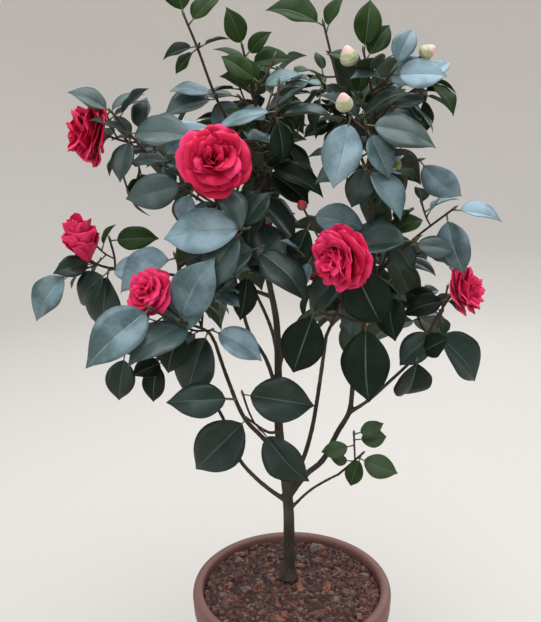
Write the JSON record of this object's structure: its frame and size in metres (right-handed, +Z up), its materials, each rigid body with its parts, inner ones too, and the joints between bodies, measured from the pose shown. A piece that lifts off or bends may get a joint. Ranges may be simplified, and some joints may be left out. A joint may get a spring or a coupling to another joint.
{
  "type": "potted camellia shrub",
  "caption": "Young camellia shrub with red double blossom on a single slender trunk, standing in a round tapered pot with a thick rolled collar.",
  "frame": {"origin": "centre of the pot's flat underside", "axes": "+Z up along the pot's axis, -Y the shrub's front as the picture shows it, +X its right-hand side seen from the front"},
  "size_m": [0.595, 0.3879, 1.0748],
  "materials": {
    "pot_body": "matt brown-red, lightly dusted",
    "growing_mix": "damp bark chips and grit",
    "bark": "fine grey-brown bark",
    "foliage": "glossy deep green leaves"
  },
  "bodies": {
    "root": {"pot": "pot_body", "growing_mix": "growing_mix", "trunk": "bark", "right_bough": "bark", "middle_right_bough": "bark", "low_left_bough": "bark", "left_bough": "bark", "middle_left_bough": "bark", "far_left_bough": "bark", "upper_left_bough": "bark", "upper_right_bough": "bark", "far_right_bough": "bark", "low_right_bough": "bark", "rear_left_bough": "bark", "rear_right_bough": "bark", "rear_bough": "bark", "top_left_foliage": "foliage", "top_foliage": "foliage", "top_middle_foliage": "foliage", "top_right_foliage": "foliage", "upper_right_foliage": "foliage", "right_foliage": "foliage", "far_right_foliage": "foliage", "middle_right_foliage": "foliage", "left_foliage": "foliage", "low_left_foliage": "foliage", "far_left_foliage": "foliage", "upper_left_foliage": "foliage", "middle_left_foliage": "foliage", "middle_foliage": "foliage", "low_middle_foliage": "foliage", "low_right_foliage": "foliage", "rear_left_foliage": "foliage", "rear_right_foliage": "foliage", "rear_top_foliage": "foliage"}
  },
  "joints": []
}
